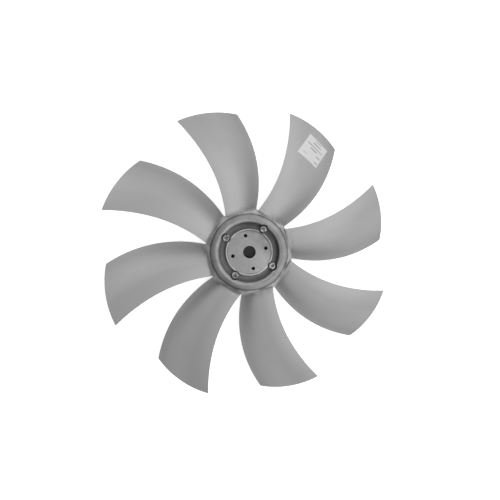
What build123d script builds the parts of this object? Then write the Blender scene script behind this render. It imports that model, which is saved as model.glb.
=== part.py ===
from build123d import *
import math
import os

# An axial fan impeller: one aluminium casting of eight sickle blades round an eight-sided hub,
# bolted to a turned hub boss that takes the motor shaft.
# The origin is the centre of the shaft bore at the boss's front face. +Z is the axis, towards the
# air inlet (the front). +X passes through the middle of the first blade's root.
# All lengths are millimetres and all angles are degrees.

# ---- Driving sizes: the impeller as a whole ----
tip_diameter = 560.0  # over the blade tips
blade_count = 8
blade_step = 360.0 / blade_count

# ---- Driving sizes: the casting's hub ----
hub_across_flats = 155.0  # one flat per blade
hub_front_z = 3.0  # flat front of the drum, round the collar
hub_rear_z = -56.0  # rear rim, on which the impeller lies
hub_wall = 6.0  # drum wall behind the blade roots
hub_corner_radius = 3.0  # upright corners of the drum
hub_front_edge_chamfer = 1.2
collar_diameter = 146.0  # raised round collar on the drum's front
collar_crown_diameter = 129.0  # highest circle of the collar
collar_crown_z = 10.0
collar_shoulder_drop = 2.2  # the collar's top slopes down outwards by this much
collar_edge_chamfer = 1.8
recess_diameter = 115.0  # sunken ring round the boss
recess_floor_z = -9.0
recess_lip_depth = 8.0  # height of the rounding from the crown down into the recess
web_thickness = 9.0  # the plate that the boss is bolted to
gusset_thickness = 5.0  # ribs between the web and the drum wall
gusset_rear_gap = 10.0  # how far the gussets stop short of the rear rim
gusset_slope_run = 8.0  # how much the gussets narrow towards the rear

# ---- Driving sizes: the blades ----
leading_waist_x = 112.0  # where the leading edge passes closest to the blade's own axis
leading_waist_y = 25.6
leading_tip_x = 270.0  # the sharp tip corner
leading_tip_y = 73.6
trailing_belly_x = 188.0  # where the trailing edge bulges furthest
trailing_belly_y = -58.2
trailing_belly_radius = 235.0  # radius of curvature of the bulge
leading_end_z = 1.0  # height of the leading edge at the root and at the tip
leading_rise = 7.0  # how much higher it is at mid span
trailing_z = -49.0  # height of the trailing edge, level all along
root_camber = 0.19  # rise of the bent section over its chord, at the drum
tip_camber = 0.08
root_thickness = 6.0
tip_thickness = 3.6
leading_edge_thickness = 3.0
trailing_edge_thickness = 2.2
tip_corner_radius = 6.0  # rounding of the trailing tip corner
root_fillet = 5.0
blade_sections = 7
blade_anchor = 4.0  # how far the blade reaches into the drum wall

# ---- Driving sizes: the hub boss ----
bore_diameter = 24.0
key_width = 8.0
key_depth = 3.3
key_front_gap = 12.0  # the keyway stops this far behind the front face
spigot_diameter = 90.4  # the round nose that stands up through the web
spigot_fit_gap = 0.05  # radial gap between the nose and the web
rim_height = 1.4  # raised rim round the nose's face
rim_width = 2.4
rim_inner_slope = 1.6
flange_land = 9.0  # from the clamping screws' circle out to the flange's rim
flange_thickness = 12.0
barrel_diameter = 52.0
barrel_rear_gap = 1.0  # the barrel ends this far inside the rear rim
barrel_chamfer = 1.5
jack_circle = 65.0
jack_count = 4
tapping_drill = 6.8  # M8

# ---- Driving sizes: the clamping screws (M8 socket head cap screws) ----
screw_land = 2.25  # web left between the nose's hole and a screw's clearance hole
screw_count = 4
screw_diameter = 8.0
screw_thread_gap = 0.05  # radial gap in the tapped hole
screw_clearance_hole = 9.0
screw_length = 20.0
head_diameter = 13.0
head_height = 8.0
head_edge_chamfer = 0.6
socket_across_flats = 6.0
socket_depth = 4.0
spotface_diameter = 18.0
washer_outer = 14.8
washer_inner = 8.2
washer_thickness = 2.0
washer_slit = 1.2

# ---- Driving sizes: the adhesive label ----
label_radial_size = 46.5  # both sizes as seen along the axis
label_chordwise_size = 48.5
label_thickness = 0.3
label_blade = 1  # counted from the +X blade
label_tip_gap = 43.0  # from the tip circle in to the label's centre
label_trailing_shift = 4.1  # from mid chord towards the trailing edge
label_turn = -3.7  # turn of the label in the plan view

# ---- Sizes that follow from those above ----
tip_radius = tip_diameter / 2
root_x = hub_across_flats / 2
blade_span = tip_radius - root_x
web_rear_z = recess_floor_z - web_thickness
web_hole = spigot_diameter + 2 * spigot_fit_gap
screw_circle = web_hole + 2 * screw_land + screw_clearance_hole
flange_diameter = screw_circle + 2 * flange_land
flange_rear_z = web_rear_z - flange_thickness
barrel_rear_z = hub_rear_z + barrel_rear_gap
label_centre_x = tip_radius - label_tip_gap
washer_seat_z = recess_floor_z
head_seat_z = washer_seat_z + washer_thickness
head_top_z = head_seat_z + head_height
screw_end_z = head_seat_z - screw_length
margin = 1.0  # how far a cutter runs past what it cuts


def around(shape, count, first_angle=0.0):
    """The same shape placed evenly round the axis."""
    step = 360.0 / count
    return [Rot(0, 0, first_angle + step * i) * shape for i in range(count)]


def cylinder(diameter, low_z, high_z, x=0.0):
    """An upright round bar between two heights."""
    bar = Cylinder(diameter / 2, high_z - low_z, align=(Align.CENTER, Align.CENTER, Align.MIN))
    return Pos(x, 0, low_z) * bar


def octagon_prism(across_flats, low_z, high_z):
    """A drum with one flat for each blade, the first facing +X."""
    outline = RegularPolygon(across_flats / 2, blade_count, major_radius=False)
    return Pos(0, 0, low_z) * extrude(facing_x(outline), high_z - low_z)


def facing_x(outline):
    """Turn a regular outline until the middle of one side faces +X."""
    side = max(outline.edges(), key=lambda edge: round(edge.center().X, 4))
    angle = math.degrees(math.atan2(side.center().Y, side.center().X))
    return Rot(0, 0, -angle) * outline


# ---- The blades ----
def leading_edge(x):
    """Plan offset and height of the concave leading edge at a distance out from the axis."""
    run = (x - leading_waist_x) / (leading_tip_x - leading_waist_x)
    share = (x - root_x) / blade_span
    y = leading_waist_y + (leading_tip_y - leading_waist_y) * run**2
    z = leading_end_z + 4 * leading_rise * share * (1 - share)
    return Vector(y, z)


def trailing_edge(x):
    """Plan offset and height of the convex trailing edge at a distance out from the axis."""
    y = trailing_belly_y + (x - trailing_belly_x) ** 2 / (2 * trailing_belly_radius)
    return Vector(y, trailing_z)


def bend(start, middle, end):
    """A smooth parabolic curve through three points."""
    pull = middle * 2 - (start + end) / 2
    return Bezier(start, pull, end)


def blade_section(x, front_swell=0.0, back_swell=0.0):
    """The bent, blunt-edged section of the blade in the plane across its own axis at x."""
    nose = leading_edge(x)
    tail = trailing_edge(x)
    chord = nose - tail
    up = Vector(-chord.Y, chord.X).normalized()
    share = (x - root_x) / blade_span
    rise = (root_camber + (tip_camber - root_camber) * share) * chord.length
    crown = (nose + tail) / 2 + up * rise
    bend_radius = (chord.length**2 / 4 + rise**2) / (2 * rise)
    bend_centre = crown - up * bend_radius
    thick = root_thickness + (tip_thickness - root_thickness) * share
    nose_out = (nose - bend_centre).normalized()
    tail_out = (tail - bend_centre).normalized()
    nose_front = nose + nose_out * (leading_edge_thickness / 2 + front_swell)
    nose_back = nose - nose_out * (leading_edge_thickness / 2 + back_swell)
    tail_front = tail + tail_out * (trailing_edge_thickness / 2 + front_swell)
    tail_back = tail - tail_out * (trailing_edge_thickness / 2 + back_swell)
    plane = Plane(origin=(x, 0, 0), x_dir=(0, 1, 0), z_dir=(1, 0, 0))
    outline = [
        bend(tail_front, crown + up * (thick / 2 + front_swell), nose_front),
        Line(nose_front, nose_back),
        bend(nose_back, crown - up * (thick / 2 + back_swell), tail_back),
        Line(tail_back, tail_front),
    ]
    return plane * make_face(outline)


def blade_body(front_swell=0.0, back_swell=0.0):
    """The blade as a loft from inside the drum wall to just past the tip circle."""
    first = root_x - blade_anchor
    last = tip_radius + margin
    step = (last - first) / (blade_sections - 1)
    places = [first + step * i for i in range(blade_sections)]
    return loft([blade_section(x, front_swell, back_swell) for x in places])


def tip_trim():
    """What the tip circle and the rounded trailing corner leave of the blade."""
    reach = tip_diameter
    disc = Circle(tip_radius)
    corner_x = trailing_tip_x()
    corner = trailing_edge(corner_x)
    slope = (corner_x - trailing_belly_x) / trailing_belly_radius
    along = Vector(1, slope).normalized()
    corner_point = Vector(corner_x, corner.X)
    behind = corner_point - along * (blade_span / 4)
    outside = Vector(along.Y, -along.X)
    shift = outside * trailing_edge_thickness
    line_start = behind + shift
    line_end = corner_point + along * blade_span + shift
    cut = Polyline(
        line_start,
        line_end,
        line_end + outside * reach,
        line_start + outside * reach,
        close=True,
    )
    plan = disc - make_face(cut)
    corner_vertex = min(plan.vertices(), key=lambda v: (Vector(v) - corner_point).length)
    plan = fillet(corner_vertex, tip_corner_radius)
    return Pos(0, 0, hub_rear_z - margin) * extrude(plan, collar_crown_z - hub_rear_z + 2 * margin)


def trailing_tip_x():
    """Where the trailing edge meets the tip circle."""
    x = tip_radius
    for _ in range(4):
        x = math.sqrt(tip_radius**2 - trailing_edge(x).X ** 2)
    return x


def blade_root_fillet():
    """The hollow flare that leads the blade into the drum's flat."""
    stations = [(-0.2, 1.0), (0.0, 0.9), (0.35, 0.28), (1.1, -0.06)]
    sections = [
        blade_section(root_x + root_fillet * d, root_fillet * h, root_fillet * h) for d, h in stations
    ]
    return loft(sections, ruled=True)


def blade():
    """One finished blade, its root in the +X flat."""
    return blade_body() & tip_trim()


# ---- The casting's hub ----
def hub_drum():
    """The eight-sided drum with its rounded corners and front edge."""
    drum = octagon_prism(hub_across_flats, hub_rear_z, hub_front_z)
    corners = drum.edges().filter_by(Axis.Z)
    drum = fillet(corners, hub_corner_radius)
    front = drum.faces().sort_by(Axis.Z)[-1]
    return chamfer(front.edges(), hub_front_edge_chamfer)


def collar_ring():
    """The raised collar: a sloping outer shoulder, a crown, and a round lip into the recess."""
    outer = collar_diameter / 2
    crown = collar_crown_diameter / 2
    inner = recess_diameter / 2
    shoulder_z = collar_crown_z - collar_shoulder_drop
    base_z = web_rear_z
    slope = Vector(outer - crown, -collar_shoulder_drop).normalized()
    shoulder_in = Vector(outer, shoulder_z) - slope * collar_edge_chamfer
    edge_low = Vector(outer, shoulder_z - collar_edge_chamfer)
    lip_high = Vector(crown, collar_crown_z)
    lip_low = Vector(inner, collar_crown_z - recess_lip_depth)
    profile = [
        Line(Vector(inner, base_z), Vector(outer, base_z)),
        Line(Vector(outer, base_z), edge_low),
        Line(edge_low, shoulder_in),
        Line(shoulder_in, lip_high),
        Bezier(lip_high, Vector(inner, collar_crown_z), lip_low),
        Line(lip_low, Vector(inner, base_z)),
    ]
    return revolve(Plane.XZ * make_face(profile), Axis.Z)


def web_plate():
    """The flat plate across the drum, with the round hole for the boss's nose."""
    plate = cylinder(recess_diameter + 2 * margin, web_rear_z, recess_floor_z)
    return plate - cylinder(web_hole, web_rear_z - margin, recess_floor_z + margin)


def gusset():
    """One rib between the web and the drum wall, behind a blade root."""
    inner = flange_diameter / 2 + margin
    outer = root_x - hub_wall / 2
    profile = Polyline(
        (inner, web_rear_z + margin),
        (outer, web_rear_z + margin),
        (outer, hub_rear_z + gusset_rear_gap),
        (inner + gusset_slope_run, hub_rear_z + gusset_rear_gap),
        (inner, web_rear_z - flange_thickness),
        close=True,
    )
    return extrude(Plane.XZ * make_face(profile), gusset_thickness / 2, both=True)


def impeller_casting():
    """The whole casting: drum, collar, web, gussets and blades, machined for the boss."""
    inside = hub_across_flats - 2 * hub_wall
    casting = hub_drum()
    casting -= octagon_prism(inside, hub_rear_z - margin, web_rear_z)
    casting -= cylinder(recess_diameter, web_rear_z - margin, hub_front_z + margin)
    casting += collar_ring()
    casting += web_plate()
    for rib in around(gusset(), blade_count):
        casting += rib
    one_blade = blade()
    one_flare = blade_root_fillet()
    for item in around(one_blade, blade_count) + around(one_flare, blade_count):
        casting += item
    for cutter in around(screw_cutter(web_rear_z - margin), screw_count, blade_step):
        casting -= cutter
    return casting


def screw_cutter(low_z):
    """The spotface and the clearance hole for one clamping screw, down to a given height."""
    radius = screw_circle / 2
    spotface = cylinder(spotface_diameter, recess_floor_z, collar_crown_z + margin, radius)
    hole = cylinder(screw_clearance_hole, low_z, recess_floor_z + margin, radius)
    return spotface + hole


# ---- The hub boss ----
def boss_body():
    """The turned boss: nose with a raised rim, clamping flange, and shaft barrel."""
    nose = spigot_diameter / 2
    flange = flange_diameter / 2
    barrel = barrel_diameter / 2
    rim_in = nose - rim_width
    face = rim_in - rim_inner_slope
    profile = Polyline(
        (0, barrel_rear_z),
        (barrel - barrel_chamfer, barrel_rear_z),
        (barrel, barrel_rear_z + barrel_chamfer),
        (barrel, flange_rear_z),
        (flange - barrel_chamfer, flange_rear_z),
        (flange, flange_rear_z + barrel_chamfer),
        (flange, web_rear_z),
        (nose, web_rear_z),
        (nose, rim_height),
        (rim_in, rim_height),
        (face, 0),
        (0, 0),
        close=True,
    )
    return revolve(Plane.XZ * make_face(profile), Axis.Z)


def keyway():
    """The keyway, slotted from the motor side and stopping short of the front face."""
    length = -key_front_gap - barrel_rear_z + margin
    height = bore_diameter / 2 + key_depth
    slot = Box(height, key_width, length, align=(Align.MIN, Align.CENTER, Align.MIN))
    return Pos(0, 0, barrel_rear_z - margin) * slot


def hub_boss():
    """The boss with its bore, keyway, jacking holes and tapped clamping holes."""
    boss = boss_body()
    boss -= cylinder(bore_diameter, barrel_rear_z - margin, margin)
    boss -= keyway()
    jack_hole = cylinder(tapping_drill, flange_rear_z - margin, margin, jack_circle / 2)
    for cutter in around(jack_hole, jack_count):
        boss -= cutter
    thread = screw_diameter + 2 * screw_thread_gap
    tapped = cylinder(thread, flange_rear_z - margin, web_rear_z + margin, screw_circle / 2)
    screw_room = tapped + screw_cutter(web_rear_z)
    for cutter in around(screw_room, screw_count, blade_step):
        boss -= cutter
    return boss


# ---- The fasteners ----
def clamp_screw():
    """One socket head cap screw in its hole on the +X side."""
    radius = screw_circle / 2
    head = cylinder(head_diameter, head_seat_z, head_top_z)
    head = chamfer(head.faces().sort_by(Axis.Z)[-1].edges(), head_edge_chamfer)
    screw = head + cylinder(screw_diameter, screw_end_z, head_seat_z)
    hexagon = RegularPolygon(socket_across_flats / 2, 6, major_radius=False)
    screw -= Pos(0, 0, head_top_z - socket_depth) * extrude(hexagon, socket_depth + margin)
    return Pos(radius, 0, 0) * screw


def spring_washer():
    """One split spring washer under its screw head."""
    ring = cylinder(washer_outer, washer_seat_z, head_seat_z)
    ring -= cylinder(washer_inner, washer_seat_z - margin, head_seat_z + margin)
    slit = Box(washer_outer, washer_slit, 3 * washer_thickness, align=(Align.MIN, Align.CENTER, Align.CENTER))
    ring -= Pos(0, 0, washer_seat_z + washer_thickness / 2) * Rot(0, 30, 0) * slit
    return Pos(screw_circle / 2, 0, 0) * ring


# ---- The label ----
def blade_label():
    """The thin label, bent to the front of its blade."""
    leading_y = leading_edge(label_centre_x).X
    trailing_y = trailing_edge(label_centre_x).X
    centre_y = (leading_y + trailing_y) / 2 - label_trailing_shift
    outline = Rot(0, 0, label_turn) * Rectangle(label_radial_size, label_chordwise_size)
    column = Pos(label_centre_x, centre_y, hub_rear_z) * extrude(outline, collar_crown_z - hub_rear_z)
    raised_front = blade_body(label_thickness, -trailing_edge_thickness / 2)
    label = (raised_front & column) - blade_body()
    return Rot(0, 0, blade_step * label_blade) * label


# ---- Building and saving ----
def save(node, shape):
    """Write one node and say how big it is."""
    size = shape.bounding_box().size
    print(node, "solids", len(shape.solids()), "size", round(size.X, 1), round(size.Y, 1), round(size.Z, 1))
    export_step(shape, f"parts/{node}.step")


os.makedirs("parts", exist_ok=True)
save("impeller_casting", impeller_casting())
save("hub_boss", hub_boss())
save("clamp_screws", Compound(children=around(clamp_screw(), screw_count, blade_step)))
save("spring_washers", Compound(children=around(spring_washer(), screw_count, blade_step)))
save("blade_label", blade_label())
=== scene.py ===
# %% [markdown]
# # Dressing an axial fan impeller
# The part is a cast aluminium fan impeller: eight curved blades round an eight-sided hub, with a turned
# boss bolted into the hub's face. Its shapes come finished from the CAD model, which loads here as a
# fixed frame. This lesson gives the shapes their finishes, then adds a floor, a camera and soft light.
# The box round the part is measured at the very start.

# %% Load the finished shapes
import math

import bpy
from mathutils import Matrix, Vector


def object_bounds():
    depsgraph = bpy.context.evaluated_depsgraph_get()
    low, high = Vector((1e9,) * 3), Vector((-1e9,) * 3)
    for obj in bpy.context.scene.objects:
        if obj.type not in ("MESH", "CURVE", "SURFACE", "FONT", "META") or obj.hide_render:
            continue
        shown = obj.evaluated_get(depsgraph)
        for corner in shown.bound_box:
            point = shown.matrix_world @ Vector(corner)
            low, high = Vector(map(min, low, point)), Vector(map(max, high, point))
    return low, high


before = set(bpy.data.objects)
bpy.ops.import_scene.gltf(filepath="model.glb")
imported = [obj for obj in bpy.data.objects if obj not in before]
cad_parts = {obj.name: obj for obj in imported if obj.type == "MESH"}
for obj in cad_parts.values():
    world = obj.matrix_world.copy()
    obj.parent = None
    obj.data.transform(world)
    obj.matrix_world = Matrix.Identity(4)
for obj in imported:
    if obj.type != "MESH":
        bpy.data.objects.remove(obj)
cad_low, cad_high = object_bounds()
print("nodes", sorted(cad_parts))
print("size in mm", [round(1000 * side, 1) for side in cad_high - cad_low])

# %% [markdown]
# ## The camera
# The impeller lies on its back and the camera looks down on its face from about three quarters of a
# metre, tipped a few degrees off the axis and turned a little round it. A camera can be aimed with a
# constraint or placed by hand. Here three small turns are multiplied into one matrix, because each turn
# then keeps a plain meaning: roll about the fan's axis, lean forward, lean sideways. The two shifts slide
# the picture without turning the camera, which keeps the blades' shapes undistorted.

# %% Place the camera over the hub
roll_about_axis = math.radians(13.5)
lean_forward = 0.0139
lean_sideways = 0.129
camera_place = Vector((0.0811, 0.01834, 0.7338))

turn = (
    Matrix.Rotation(lean_sideways, 4, "Y")
    @ Matrix.Rotation(lean_forward, 4, "X")
    @ Matrix.Rotation(roll_about_axis, 4, "Z")
)
view_to_part = turn.inverted()

camera_data = bpy.data.cameras.new("camera")
camera_data.sensor_width = 36
camera_data.lens = 27.36
camera_data.shift_x = -0.0828
camera_data.shift_y = -0.0147
camera = bpy.data.objects.new("camera", camera_data)
bpy.context.scene.collection.objects.link(camera)
camera.matrix_world = view_to_part @ Matrix.Translation(camera_place)
bpy.context.scene.camera = camera
bpy.context.scene.view_settings.view_transform = "Standard"
print("camera at", [round(x, 3) for x in camera.matrix_world.translation])

# %% [markdown]
# ## Node helpers
# A procedural finish is a small network of nodes. Adding each node by hand takes three or four lines, so
# a few short helpers carry the whole lesson: one starts a material, one adds a node and sets its sockets,
# one does arithmetic, one leads a value smoothly from one level to another, and one makes cloudy noise.

# %% Short helpers for node networks
def start_finish(name):
    """A new material with one Principled shader. Returns the material, its nodes and the shader."""
    finish = bpy.data.materials.new(name)
    finish.use_nodes = True
    tree = finish.node_tree
    tree.nodes.clear()
    shader = tree.nodes.new("ShaderNodeBsdfPrincipled")
    output = tree.nodes.new("ShaderNodeOutputMaterial")
    tree.links.new(shader.outputs["BSDF"], output.inputs["Surface"])
    return finish, tree, shader


def add(tree, kind, inputs=None, **settings):
    """One node. Each input is a number, a colour, or another node's output."""
    node = tree.nodes.new("ShaderNode" + kind)
    for name, value in settings.items():
        setattr(node, name, value)
    for key, value in (inputs or {}).items():
        if isinstance(value, bpy.types.NodeSocket):
            tree.links.new(value, node.inputs[key])
        else:
            node.inputs[key].default_value = value
    return node


def calc(tree, operation, *values):
    """One sum, with as many values as the operation takes."""
    return add(tree, "Math", dict(enumerate(values)), operation=operation).outputs[0]


def lead(tree, value, low, high, from_level, to_level):
    """Lead a value smoothly from one level to another while it passes from low to high."""
    levels = {"Value": value, "From Min": low, "From Max": high, "To Min": from_level, "To Max": to_level}
    return add(tree, "MapRange", levels, interpolation_type="SMOOTHSTEP").outputs[0]


def clouds(tree, place, size, detail=2.0):
    """Cloudy noise from 0 to 1, with blotches about that many metres across."""
    return add(tree, "TexNoise", {"Vector": place, "Scale": 1 / size, "Detail": detail}).outputs[0]


print("helpers ready")

# %% [markdown]
# ## Reading a place on the part
# Every finish here changes from place to place: turned rings belong on the collar and not on the blades,
# and painted shade belongs in corners. Texture Coordinate's Object output gives the place in metres, measured
# from the centre of the shaft bore, because the CAD nodes all sit at the origin. From it come the height
# and the distance from the shaft's axis. Two more readings come from the shape itself: the Bevel node
# sees how sharply the surface bends within a millimetre, and Ambient Occlusion sees how shut in it is, which
# the finishes darken as painted shade.

# %% Readings that the finishes share
def read_place(tree):
    """The place on the part, its height, and its distance from the shaft's axis."""
    place = add(tree, "TexCoord").outputs["Object"]
    axes = add(tree, "SeparateXYZ", {"Vector": place})
    flat = add(tree, "CombineXYZ", {"X": axes.outputs["X"], "Y": axes.outputs["Y"]})
    distance = add(tree, "VectorMath", {0: flat.outputs[0]}, operation="LENGTH").outputs["Value"]
    return place, axes.outputs["Z"], distance


def read_side(tree, place, bearing, start, end):
    """0 to 1 on the way from one distance to another, towards one side of the shaft's axis."""
    side = (math.cos(bearing), math.sin(bearing), 0)
    towards = add(tree, "VectorMath", {0: place, 1: side}, operation="DOT_PRODUCT").outputs["Value"]
    return lead(tree, towards, start, end, 0, 1)


def read_edges(tree, reach):
    """1 on an edge or in a corner, 0 on flat and gently curved metal."""
    rounded = add(tree, "Bevel", {"Radius": reach}, samples=6).outputs[0]
    plain = add(tree, "NewGeometry").outputs["Normal"]
    alike = add(tree, "VectorMath", {0: rounded, 1: plain}, operation="DOT_PRODUCT").outputs["Value"]
    return lead(tree, alike, 0.97, 0.80, 0, 1), rounded


def read_corner_shade(tree, reach):
    """1 where the surface is shut in by its neighbours, 0 in the open: where the finishes paint shade."""
    seen = add(tree, "AmbientOcclusion", {"Distance": reach}, samples=8).outputs["AO"]
    return lead(tree, seen, 0.95, 0.35, 0, 1)


print("readings: place, edges, shelter")

# %% [markdown]
# ## One blade's coordinates for all eight
# Painted shade darkens the trailing edges and a painted sheen brightens the crown of each blade, so the finish
# has to know where a place lies across the blade. The blades repeat every 45 degrees: rounding a place's angle to
# the nearest eighth of a turn and taking that off folds all eight onto the first, whose root lies along +X.
# Seen from the front both edges are parabolas, and the share of the way from the one to the other follows.
# Painting a mask by hand would do for one blade only.

# %% Fold the blades and measure across them
blade_count = 8
trailing_belly = (0.188, -0.0582)
trailing_belly_radius = 0.235
leading_waist = (0.112, 0.0256)
leading_waist_radius = 0.260


def edge_line(tree, along, belly, radius):
    """How far a curved blade edge stands off the blade's own axis, at a distance out from the shaft."""
    off_belly = calc(tree, "SUBTRACT", along, belly[0])
    curve = calc(tree, "DIVIDE", calc(tree, "POWER", off_belly, 2), 2 * radius)
    return calc(tree, "ADD", curve, belly[1])


def read_blade(tree, place, distance):
    """How far from the trailing edge a place lies, in metres and as a share of the blade's width."""
    axes = add(tree, "SeparateXYZ", {"Vector": place})
    angle = calc(tree, "ARCTAN2", axes.outputs["Y"], axes.outputs["X"])
    blade_step = 2 * math.pi / blade_count
    nearest = calc(tree, "MULTIPLY", calc(tree, "ROUND", calc(tree, "DIVIDE", angle, blade_step)), blade_step)
    folded = calc(tree, "SUBTRACT", angle, nearest)
    along = calc(tree, "MULTIPLY", distance, calc(tree, "COSINE", folded))
    across = calc(tree, "MULTIPLY", distance, calc(tree, "SINE", folded))
    trailing = edge_line(tree, along, trailing_belly, trailing_belly_radius)
    leading = edge_line(tree, along, leading_waist, leading_waist_radius)
    from_trailing = calc(tree, "SUBTRACT", across, trailing)
    share = calc(tree, "DIVIDE", from_trailing, calc(tree, "SUBTRACT", leading, trailing))
    return from_trailing, share


print("edges pass", trailing_belly, "and", leading_waist)

# %% [markdown]
# ## Cast and blasted aluminium
# The casting comes out of a metal mould and is blasted with fine beads, so it has no mirror gloss: it
# shows a soft silvery sheen with a fine grain and faint clouds where the metal cooled unevenly. Painted
# shade darkens its corners round the hub. A picture texture could show this, but it would need unwrapping and
# would blur close up. Layers of noise at three scales do it at any distance: clouds of a few centimetres
# for the tone, blotches of a few millimetres for the gloss, and grain under a millimetre for the bumps.
# The collar was turned on a lathe, so it gets fine rings instead of the grain. Painted shade darkens the
# sunken ring round the boss, the blades' trailing edges and the blades on one side. Painted shadows lie
# along the foot of the collar, beside it and on one side of the sunken ring, and painted highlights
# brighten the collar's inner lip and the crown of each blade.

# %% Cast aluminium
collar_radius = 0.0734
recess_radius = 0.0585
recess_floor_z = -0.0090
collar_foot_z = 0.0030
blade_root = 0.0880
shadow_bearing = math.radians(31)  # where painted shadow darkens one side of the sunken ring and of the boss
collar_shadow_bearing = math.radians(186)  # where the painted shadow round the collar lies thickest
# where the blades get painted shade on one side
shaded_blade_bearing = math.radians(225)


def cast_aluminium():
    finish, tree, shader = start_finish("cast_aluminium")
    place, height, distance = read_place(tree)
    edges, soft_normal = read_edges(tree, 0.0012)
    # Painted shade in the hub's corners and creases, where the surface is shut in.
    corner_shade = read_corner_shade(tree, 0.02)

    broad = clouds(tree, place, 0.050, 3)
    smudges = clouds(tree, place, 0.014, 4)
    blotches = clouds(tree, place, 0.006, 3)
    grain = clouds(tree, place, 0.0007, 2)

    within_collar = lead(tree, distance, collar_radius - 0.0002, collar_radius + 0.0002, 1, 0)
    turned = calc(tree, "MULTIPLY", within_collar, lead(tree, height, -0.0100, -0.0096, 0, 1))
    ragged = calc(tree, "MULTIPLY_ADD", smudges, 0.006, distance)
    recess_floor = lead(tree, height, recess_floor_z + 0.001, recess_floor_z + 0.005, 1, 0)
    # Painted shade over the sunken ring round the boss.
    sunken_shade = calc(tree, "MULTIPLY", lead(tree, distance, recess_radius, recess_radius + 0.001, 1, 0), recess_floor)
    # Painted shadow along the foot of the collar, with a ragged outer edge.
    foot_inside = lead(tree, distance, collar_radius - 0.0012, collar_radius, 0, 1)
    foot_shadow = calc(tree, "MULTIPLY", foot_inside, lead(tree, ragged, collar_radius + 0.0030, collar_radius + 0.0065, 1, 0))
    foot_shadow = calc(tree, "MULTIPLY", foot_shadow, lead(tree, height, collar_foot_z + 0.0005, collar_foot_z + 0.0025, 1, 0))
    on_blade = lead(tree, distance, blade_root - 0.004, blade_root + 0.004, 0, 1)
    from_trailing, share = read_blade(tree, place, distance)
    # Painted shade along the blades' trailing edges.
    trailing_shade = calc(tree, "MULTIPLY", lead(tree, from_trailing, 0.002, 0.034, 1, 0), on_blade)
    # A painted sheen along the crown of each blade.
    off_crown = calc(tree, "ABSOLUTE", calc(tree, "SUBTRACT", share, 0.46))
    crown_sheen = calc(tree, "MULTIPLY", lead(tree, off_crown, 0.02, 0.26, 1, 0), on_blade)
    # A painted highlight on the collar's inner lip.
    lip_highlight = calc(tree, "MULTIPLY", lead(tree, distance, 0.0595, 0.0630, 1, 0), lead(tree, height, -0.002, 0.003, 0, 1))
    # Painted shadow on one side of the sunken ring.
    recess_side_shadow = calc(tree, "MULTIPLY", sunken_shade, read_side(tree, place, shadow_bearing, -0.01, 0.05))
    # Painted shadow round the collar on one side.
    collar_side_shadow = calc(tree, "MULTIPLY", read_side(tree, place, collar_shadow_bearing, 0.0, 0.065), lead(tree, distance, 0.079, 0.086, 1, 0))
    collar_side_shadow = calc(tree, "MULTIPLY", collar_side_shadow, lead(tree, distance, collar_radius - 0.010, collar_radius, 0.25, 1))
    # Painted shade over the blades on one side.
    unit_place = add(tree, "VectorMath", {0: place}, operation="NORMALIZE").outputs["Vector"]
    shaded_blade = calc(tree, "MULTIPLY", read_side(tree, unit_place, shaded_blade_bearing, 0.90, 0.97), on_blade)

    tone = calc(tree, "MULTIPLY_ADD", broad, 0.10, 0.93)
    tone = calc(tree, "MULTIPLY_ADD", blotches, 0.05, tone)
    tone = calc(tree, "MULTIPLY", tone, lead(tree, corner_shade, 0, 1, 1.0, 0.72))
    tone = calc(tree, "MULTIPLY", tone, lead(tree, edges, 0, 1, 1.0, 1.12))
    smudged = calc(tree, "MULTIPLY_ADD", smudges, 0.70, 0.62)
    tone = calc(tree, "MULTIPLY", tone, add(tree, "Mix", {"Factor": on_blade, "A": smudged, "B": 1.0}).outputs[0])
    levels = (
        (turned, 0.66),
        (sunken_shade, 0.76),
        (recess_side_shadow, 0.62),
        (lip_highlight, 1.60),
        (foot_shadow, 0.50),
        (collar_side_shadow, 0.60),
        (trailing_shade, 0.84),
        (crown_sheen, 1.08),
        (shaded_blade, 0.90),
    )
    for zone, level in levels:
        tone = calc(tree, "MULTIPLY", tone, lead(tree, zone, 0, 1, 1.0, level))
    colour = add(tree, "HueSaturation", {"Value": tone, "Color": (0.432, 0.432, 0.432, 1)}).outputs[0]
    tree.links.new(colour, shader.inputs["Base Color"])

    gloss = calc(tree, "MULTIPLY_ADD", blotches, 0.10, 0.55)
    gloss = calc(tree, "ADD", gloss, lead(tree, turned, 0, 1, 0, -0.12))
    tree.links.new(gloss, shader.inputs["Roughness"])
    shader.inputs["Metallic"].default_value = 0.5

    ring_phase = calc(tree, "MULTIPLY_ADD", distance, 2 * math.pi / 0.0007, calc(tree, "MULTIPLY", broad, 6))
    rings = calc(tree, "MULTIPLY", calc(tree, "SINE", ring_phase), 0.5)
    relief = add(tree, "Mix", {"Factor": turned, "A": grain, "B": rings}).outputs[0]
    bump = add(tree, "Bump", {"Height": relief, "Normal": soft_normal, "Strength": 0.35, "Distance": 0.0001})
    tree.links.new(bump.outputs[0], shader.inputs["Normal"])
    return finish


def give_finish(node, finish):
    """Put a finish on a CAD node, in place of the materials it came with."""
    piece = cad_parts[node]
    piece.data.materials.clear()
    piece.data.materials.append(finish)
    print(node, "is finished with", finish.name, "and", len(finish.node_tree.nodes), "nodes")


give_finish("impeller_casting", cast_aluminium())
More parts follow.
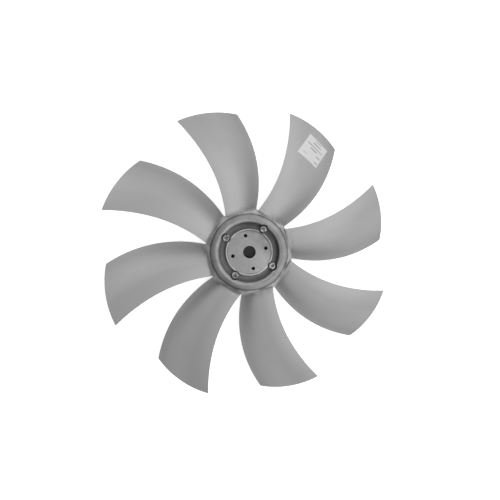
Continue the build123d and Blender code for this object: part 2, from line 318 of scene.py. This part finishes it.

# %% [markdown]
# ## The turned boss
# The boss is turned from steel bar. Its face shows faint rings from the facing tool, with a painted highlight on
# its raised rim, painted shade inside the shaft bore and the tapped holes, and a painted shadow on one side of
# the face. Rings can be drawn with a Wave texture, but a sine of the distance from the axis gives the same rings
# with one number for their pitch, and they stay centred on the shaft by themselves.

# %% Boss steel
def boss_steel():
    finish, tree, shader = start_finish("boss_steel")
    place, height, distance = read_place(tree)
    edges, soft_normal = read_edges(tree, 0.0008)
    # Painted shade where the boss is shut in, as in its holes.
    corner_shade = read_corner_shade(tree, 0.010)

    drift = clouds(tree, place, 0.018, 3)
    stains = clouds(tree, place, 0.004, 4)
    # Painted shade inside the shaft bore.
    bore_shade = lead(tree, distance, 0.0120, 0.0124, 1, 0)
    # A painted highlight on the boss's raised rim.
    rim_highlight = calc(tree, "MULTIPLY", lead(tree, distance, 0.0412, 0.0428, 0, 1), lead(tree, height, 0.0010, 0.0013, 0, 1))
    # Painted shadow on one side of the boss face, broken up by the drift noise.
    boss_side_shadow = read_side(tree, place, shadow_bearing, 0.008, 0.036)
    boss_side_shadow = calc(tree, "MULTIPLY", boss_side_shadow, lead(tree, drift, 0.30, 0.60, 0.35, 1))
    tone = calc(tree, "MULTIPLY_ADD", drift, 0.36, 0.70)
    tone = calc(tree, "MULTIPLY_ADD", stains, 0.20, tone)
    for zone, level in ((corner_shade, 0.60), (edges, 1.25), (bore_shade, 0.45), (boss_side_shadow, 0.66), (rim_highlight, 1.35)):
        tone = calc(tree, "MULTIPLY", tone, lead(tree, zone, 0, 1, 1.0, level))
    colour = add(tree, "HueSaturation", {"Value": tone, "Color": (0.36, 0.36, 0.36, 1)}).outputs[0]
    tree.links.new(colour, shader.inputs["Base Color"])

    gloss = calc(tree, "MULTIPLY_ADD", stains, 0.16, 0.32)
    tree.links.new(gloss, shader.inputs["Roughness"])
    shader.inputs["Metallic"].default_value = 1.0

    ring_phase = calc(tree, "MULTIPLY_ADD", distance, 2 * math.pi / 0.0006, calc(tree, "MULTIPLY", drift, 4))
    rings = calc(tree, "SINE", ring_phase)
    bump = add(tree, "Bump", {"Height": rings, "Normal": soft_normal, "Strength": 0.25, "Distance": 0.00004})
    tree.links.new(bump.outputs[0], shader.inputs["Normal"])
    return finish


give_finish("hub_boss", boss_steel())

# %% [markdown]
# ## Zinc on the screws and washers
# The clamping screws are socket head cap screws with a bright zinc coat. Their heads are knurled all round
# for the fingers. The knurl is far too fine to model for a picture of the whole fan, so it is a bump: the
# four screws stand at the same distance from both centre lines, so folding the part's coordinates with
# Absolute brings all four onto one screw, and the angle round that screw's own axis counts the ridges.

# %% Screw and washer zinc
screw_offset = 0.052 * math.sin(math.radians(45))


def zinc_coat(name, brightness, roughness, knurled):
    finish, tree, shader = start_finish(name)
    place, height, distance = read_place(tree)
    edges, soft_normal = read_edges(tree, 0.0005)
    # Painted shade in the sockets and round the foot of each head.
    corner_shade = read_corner_shade(tree, 0.004)
    axes = add(tree, "SeparateXYZ", {"Vector": place})
    across = calc(tree, "SUBTRACT", calc(tree, "ABSOLUTE", axes.outputs["X"]), screw_offset)
    along = calc(tree, "SUBTRACT", calc(tree, "ABSOLUTE", axes.outputs["Y"]), screw_offset)
    from_screw = calc(tree, "SQRT", calc(tree, "ADD", calc(tree, "POWER", across, 2), calc(tree, "POWER", along, 2)))

    bloom = clouds(tree, place, 0.0045, 4)
    tone = lead(tree, bloom, 0.38, 0.62, 0.45, 1.15)
    tone = calc(tree, "MULTIPLY", tone, lead(tree, corner_shade, 0, 1, 1.0, 0.35))
    tone = calc(tree, "MULTIPLY", tone, lead(tree, edges, 0, 1, 1.0, 1.15))
    grey = (brightness, brightness, brightness, 1)
    colour = add(tree, "HueSaturation", {"Value": tone, "Color": grey}).outputs[0]
    tree.links.new(colour, shader.inputs["Base Color"])
    gloss = calc(tree, "MULTIPLY_ADD", bloom, 0.15, roughness)
    tree.links.new(gloss, shader.inputs["Roughness"])
    shader.inputs["Metallic"].default_value = 1.0

    if knurled:
        ridges = calc(tree, "SINE", calc(tree, "MULTIPLY", calc(tree, "ARCTAN2", along, across), 56))
        on_side = lead(tree, from_screw, 0.0060, 0.0063, 0, 1)
        relief = calc(tree, "MULTIPLY", ridges, on_side)
        relief_height = 0.00015
    else:
        relief = bloom
        relief_height = 0.00005
    bump = add(tree, "Bump", {"Height": relief, "Normal": soft_normal, "Strength": 0.5, "Distance": relief_height})
    tree.links.new(bump.outputs[0], shader.inputs["Normal"])
    return finish


give_finish("clamp_screws", zinc_coat("screw_zinc", 0.62, 0.20, knurled=True))
give_finish("spring_washers", zinc_coat("washer_zinc", 0.32, 0.30, knurled=False))

# %% [markdown]
# ## The label
# A thin white film is stuck near the tip of one blade. It stays blank apart from a few pale grey bars
# where a plate like this is filled in, so there is nothing on it to read. The bars could be an image, but
# they are plain rectangles, and a rectangle is two distances from a centre line. The Mapping node turns
# the part's coordinates into the label's own: outwards along the blade, and across it.

# %% Label film with plain bars
label_centre = (0.237, -0.0028)
label_blade_angle = math.radians(45)
label_turn = math.radians(-3.7)
label_length, label_width = 0.0465, 0.0485
label_bars = [
    # middle outwards, middle across, length across, as shares of the label, and darkness
    (0.93, 0.52, 0.30, 0.55),
    (0.79, 0.53, 0.40, 0.80),
    (0.65, 0.50, 0.78, 0.70),
    (0.53, 0.51, 0.32, 0.85),
    (0.39, 0.84, 0.19, 0.75),
    (0.14, 0.88, 0.16, 0.65),
    (0.19, 0.27, 0.22, 0.35),
]


def label_film():
    finish, tree, shader = start_finish("label_film")
    place, height, distance = read_place(tree)
    spin = Matrix.Rotation(label_blade_angle, 4, "Z")
    centre = spin @ Vector((*label_centre, 0))
    turned = {"Vector": place, "Location": centre, "Rotation": (0, 0, label_blade_angle + label_turn)}
    own = add(tree, "Mapping", turned, vector_type="TEXTURE").outputs[0]
    own_axes = add(tree, "SeparateXYZ", {"Vector": own})
    outwards, across = own_axes.outputs["X"], own_axes.outputs["Y"]

    ink = 0.0
    for middle_out, middle_across, length, darkness in label_bars:
        off_out = calc(tree, "ABSOLUTE", calc(tree, "SUBTRACT", outwards, (middle_out - 0.5) * label_length))
        off_across = calc(tree, "ABSOLUTE", calc(tree, "ADD", across, (middle_across - 0.5) * label_width))
        in_height = lead(tree, off_out, 0.0009, 0.0014, darkness, 0)
        in_length = lead(tree, off_across, length * label_width / 2, length * label_width / 2 + 0.0004, 1, 0)
        bar = calc(tree, "MULTIPLY", in_height, in_length)
        ink = calc(tree, "MAXIMUM", ink, bar)

    wear = clouds(tree, place, 0.003, 4)
    ink = calc(tree, "MULTIPLY", ink, lead(tree, wear, 0.3, 0.6, 0.75, 1.0))
    aged = calc(tree, "MULTIPLY_ADD", clouds(tree, place, 0.015, 2), 0.06, 0.95)
    paper = add(tree, "HueSaturation", {"Value": aged, "Color": (0.72, 0.72, 0.72, 1)}).outputs[0]
    colour = add(tree, "Mix", {"Factor": ink, "A": paper, "B": (0.25, 0.25, 0.25, 1)}, data_type="RGBA")
    tree.links.new(colour.outputs[2], shader.inputs["Base Color"])
    tree.links.new(calc(tree, "MULTIPLY_ADD", wear, 0.2, 0.35), shader.inputs["Roughness"])
    bump = add(tree, "Bump", {"Height": wear, "Strength": 0.2, "Distance": 0.00005})
    tree.links.new(bump.outputs[0], shader.inputs["Normal"])
    return finish


give_finish("blade_label", label_film())

# %% [markdown]
# ## Floor
# The impeller lies on a plain pale floor. A photographer lights such a floor until it is white. Turning up
# the lamps would bleach the metal too, so the floor shines a little by itself, only where the camera, a
# reflection or glass looks at it. Under the hub it doesn't shine, which paints shade there, so the floor
# seen through the shaft bore stays dark. Its ordinary white paint underneath still takes the part's soft shadow.

# %% Floor that reads as white
floor_height = cad_low.z
floor_half = 30.0
corners = [(x, y, floor_height) for x, y in ((-1, -1), (1, -1), (1, 1), (-1, 1))]
corners = [(x * floor_half, y * floor_half, z) for x, y, z in corners]
floor_mesh = bpy.data.meshes.new("floor")
floor_mesh.from_pydata(corners, [], [(0, 1, 2, 3)])
floor = bpy.data.objects.new("floor", floor_mesh)
bpy.context.scene.collection.objects.link(floor)

floor_paint, floor_tree, floor_shader = start_finish("floor_paint")
floor_shader.inputs["Base Color"].default_value = (0.8, 0.8, 0.8, 1)
floor_shader.inputs["Roughness"].default_value = 0.9
floor_shader.inputs["Specular IOR Level"].default_value = 0.1
floor_shader.inputs["Emission Color"].default_value = (1, 1, 1, 1)
rays = add(floor_tree, "LightPath")
seen = calc(floor_tree, "MAXIMUM", rays.outputs["Is Camera Ray"], rays.outputs["Is Glossy Ray"])
seen = calc(floor_tree, "MAXIMUM", seen, rays.outputs["Is Transmission Ray"])
floor_place, floor_level, from_axis = read_place(floor_tree)
# Painted shade: no glow under the hub.
outside_hub_shade = lead(floor_tree, from_axis, 0.065, 0.075, 0, 1)
glow = calc(floor_tree, "MULTIPLY", calc(floor_tree, "MULTIPLY", seen, 0.75), outside_hub_shade)
floor_tree.links.new(glow, floor_shader.inputs["Emission Strength"])
floor_mesh.materials.append(floor_paint)
print("floor at", round(1000 * floor_height, 1), "mm, half width", floor_half, "m")

# %% [markdown]
# ## Studio light
# Metal shows what is around it, so the light is planned as surroundings first and lamps second. The world
# is one even pale room, which fills every side of the part with the same soft light. Three square lamps
# add direction: two high ones on the right, above and below, model the blades and draw the thin shadow
# beside the collar, and a wide low one at the upper left lifts the faces that turn away from them.

# %% World and lamps
world = bpy.data.worlds.new("pale_room")
bpy.context.scene.world = world
world.use_nodes = True
room = world.node_tree
room.nodes.clear()
room_strength = 0.41
backdrop = add(room, "Background", {"Color": (1, 1, 1, 1), "Strength": room_strength})
room_output = room.nodes.new("ShaderNodeOutputWorld")
room.links.new(backdrop.outputs[0], room_output.inputs["Surface"])

lamps = {
    # name: bearing in the picture (0 is right, 90 is up), height in degrees, distance, width, watts
    "upper_right_lamp": (45, 60, 2.0, 0.5, 10.6),
    "lower_right_lamp": (315, 60, 2.0, 0.5, 10.4),
    "low_left_lamp": (135, 25, 2.0, 1.0, 4.9),
}


def place_lamp(name, bearing, elevation, distance, width, watts):
    """A square soft lamp that faces the hub. Bearings are turned with the camera's roll."""
    lamp_data = bpy.data.lights.new(name, "AREA")
    lamp_data.size = width
    lamp_data.energy = watts
    lamp = bpy.data.objects.new(name, lamp_data)
    bpy.context.scene.collection.objects.link(lamp)
    flat = math.radians(bearing) - roll_about_axis
    rise = math.radians(elevation)
    towards = Vector((math.cos(flat) * math.cos(rise), math.sin(flat) * math.cos(rise), math.sin(rise)))
    lamp.location = towards * distance
    lamp.rotation_euler = towards.to_track_quat("Z", "Y").to_euler()
    print(name, "at", [round(x, 2) for x in lamp.location])


for name, settings in lamps.items():
    place_lamp(name, *settings)
